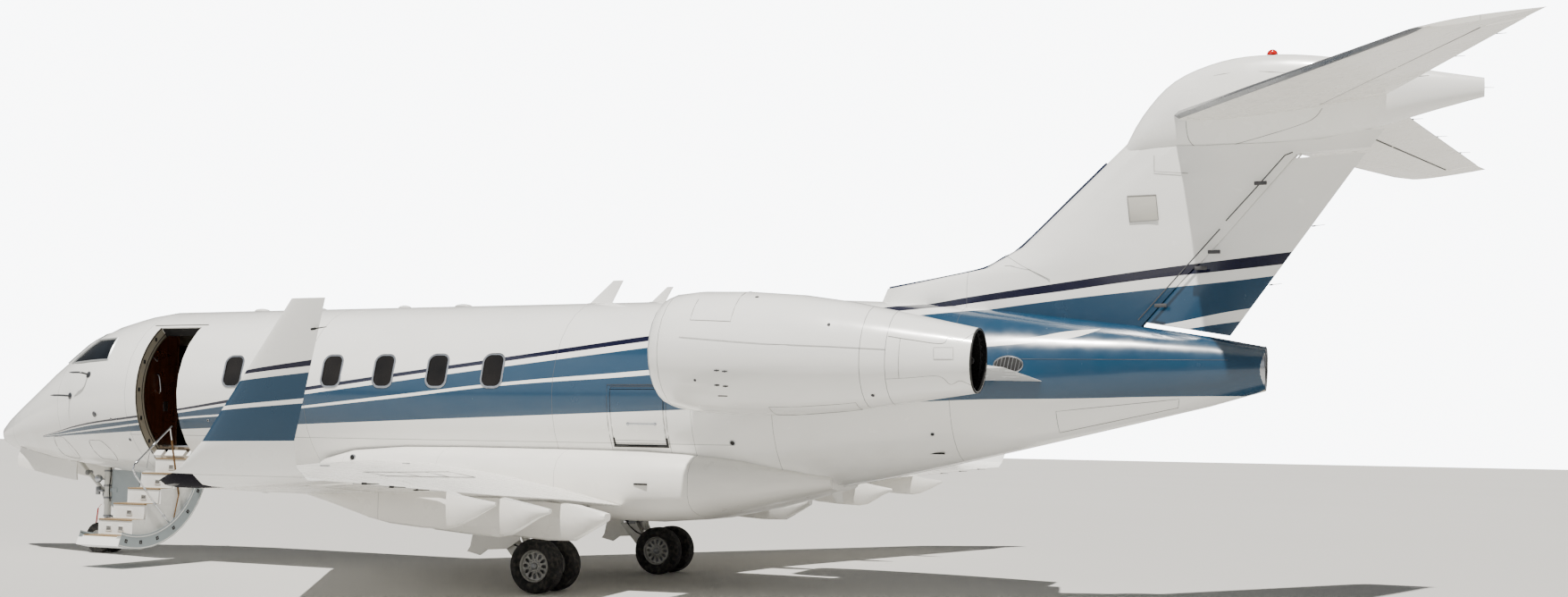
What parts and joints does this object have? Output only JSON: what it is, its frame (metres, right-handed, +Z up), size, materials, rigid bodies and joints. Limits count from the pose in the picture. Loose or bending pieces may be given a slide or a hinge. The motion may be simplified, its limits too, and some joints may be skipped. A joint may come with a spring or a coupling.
{
  "type": "business jet",
  "caption": "Twin-engine business jet with T-tail and winglets, airstair door open, landing gear down; wheels, fans, doors and control surfaces move.",
  "frame": {"origin": "on the ground under the middle of the aircraft's length", "axes": "+X towards the tail, +Y to starboard, +Z up; the nose points to -X"},
  "size_m": [20.9198, 19.448, 6.0968],
  "materials": {
    "white_paint": "gloss paint",
    "composite_paint": "gloss paint over composite",
    "belly_paint": "satin paint",
    "radome_paint": "satin paint",
    "polished_metal": "polished",
    "gear_metal": "satin paint",
    "engine_metal": "heat-stained",
    "tyre_rubber": "worn rubber",
    "dark_glass": "tinted",
    "carpet": "cut pile",
    "cabin_wood": "gloss varnish",
    "seat_leather": "smooth",
    "panel_grey": "matte",
    "step_paint": "satin paint"
  },
  "bodies": {
    "airframe": {"aft_cabin_shell": "white_paint", "antenna_aft": "white_paint", "antenna_forward": "white_paint", "belly_fairing": "belly_paint", "bullet_fairing": "composite_paint", "cabin_floor": "carpet", "cabin_partition": "cabin_wood", "cabin_seats": "seat_leather", "centre_cabin_shell": "white_paint", "cockpit_partition": "cabin_wood", "cockpit_seats": "seat_leather", "cockpit_shell": "white_paint", "engine_port": "engine_metal", "engine_starboard": "engine_metal", "fin": "white_paint", "flap_port": "white_paint", "flap_starboard": "white_paint", "forward_cabin_shell": "white_paint", "instrument_panel": "panel_grey", "main_gear_door_port": "belly_paint", "main_gear_door_starboard": "belly_paint", "main_leg_port": "gear_metal", "main_leg_starboard": "gear_metal", "nacelle_port": "composite_paint", "nacelle_starboard": "composite_paint", "nose_gear_bay": "gear_metal", "nose_gear_door_port": "belly_paint", "nose_gear_door_starboard": "belly_paint", "nose_leg": "gear_metal", "nose_leg_door": "belly_paint", "pylon_port": "white_paint", "pylon_starboard": "white_paint", "radome": "radome_paint", "side_window_port": "dark_glass", "side_window_starboard": "dark_glass", "stabilizer": "composite_paint", "tail_shell": "white_paint", "window_belt_port": "dark_glass", "window_belt_starboard": "dark_glass", "windshield_port": "dark_glass", "windshield_starboard": "dark_glass", "wing_port": "white_paint", "wing_starboard": "white_paint", "winglet_port": "composite_paint", "winglet_starboard": "composite_paint"},
    "airstair": {"airstair_door": "white_paint", "airstair_steps": "step_paint", "airstair_handrail": "polished_metal"},
    "baggage_hatch": {"baggage_door": "white_paint"},
    "rudder_body": {"rudder": "composite_paint"},
    "elevator_port_body": {"elevator_port": "composite_paint"},
    "elevator_starboard_body": {"elevator_starboard": "composite_paint"},
    "aileron_port_body": {"aileron_port": "white_paint"},
    "aileron_starboard_body": {"aileron_starboard": "white_paint"},
    "fan_port_body": {"fan_port": "polished_metal"},
    "fan_starboard_body": {"fan_starboard": "polished_metal"},
    "main_wheels_port_body": {"main_wheels_port": "tyre_rubber"},
    "main_wheels_starboard_body": {"main_wheels_starboard": "tyre_rubber"},
    "nose_steering": {"nose_fork": "gear_metal"},
    "nose_wheels_body": {"nose_wheels": "tyre_rubber"}
  },
  "joints": [
    {"name": "main_door", "type": "hinge", "parent": "airframe", "child": "airstair", "pos_m": [-6.2575, -0.631, 1.413], "axis": [1, 0, 0], "range_deg": [-121.6, 0]},
    {"name": "baggage_door_hinge", "type": "hinge", "parent": "airframe", "child": "baggage_hatch", "pos_m": [1.135, -1.202, 2.381], "axis": [1, 0, 0], "range_deg": [-100, 0]},
    {"name": "rudder_hinge", "type": "hinge", "parent": "airframe", "child": "rudder_body", "pos_m": [6.885, 0, 3.205], "axis": [0.6605, 0, 0.7508], "range_deg": [-25, 25]},
    {"name": "elevator_port_hinge", "type": "hinge", "parent": "airframe", "child": "elevator_port_body", "pos_m": [8.7009, -0.33, 5.5187], "axis": [-0.4037, 0.9137, 0.0459], "range_deg": [-20, 20]},
    {"name": "aileron_port_hinge", "type": "hinge", "parent": "airframe", "child": "aileron_port_body", "pos_m": [1.7556, -6.76, 1.3739], "axis": [-0.3544, 0.9341, -0.0424], "range_deg": [-20, 20]},
    {"name": "fan_port_spin", "type": "hinge", "parent": "airframe", "child": "fan_port_body", "pos_m": [2.5896, -2, 2.7763], "axis": [0.9993, 0, -0.037], "continuous": true},
    {"name": "main_wheels_port_axle", "type": "hinge", "parent": "airframe", "child": "main_wheels_port_body", "pos_m": [0.19, -1.59, 0.32], "axis": [0, 1, 0], "continuous": true},
    {"name": "elevator_starboard_hinge", "type": "hinge", "parent": "airframe", "child": "elevator_starboard_body", "pos_m": [8.7009, 0.33, 5.5187], "axis": [0.4037, 0.9137, -0.0459], "range_deg": [-20, 20]},
    {"name": "aileron_starboard_hinge", "type": "hinge", "parent": "airframe", "child": "aileron_starboard_body", "pos_m": [1.7556, 6.76, 1.3739], "axis": [0.3544, 0.9341, 0.0424], "range_deg": [-20, 20]},
    {"name": "fan_starboard_spin", "type": "hinge", "parent": "airframe", "child": "fan_starboard_body", "pos_m": [2.5896, 2, 2.7763], "axis": [0.9993, 0, -0.037], "continuous": true},
    {"name": "main_wheels_starboard_axle", "type": "hinge", "parent": "airframe", "child": "main_wheels_starboard_body", "pos_m": [0.19, 1.59, 0.32], "axis": [0, 1, 0], "continuous": true},
    {"name": "nose_steer", "type": "hinge", "parent": "airframe", "child": "nose_steering", "pos_m": [-8.31, 0, 0.64], "axis": [0, 0, 1], "range_deg": [-60, 60]},
    {"name": "nose_wheels_axle", "type": "hinge", "parent": "nose_steering", "child": "nose_wheels_body", "pos_m": [-8.31, 0, 0.225], "axis": [0, 1, 0], "continuous": true}
  ],
  "couplings": [
    {"joint": "elevator_starboard_hinge", "follows": "elevator_port_hinge", "ratio": 1},
    {"joint": "aileron_starboard_hinge", "follows": "aileron_port_hinge", "ratio": -1}
  ]
}
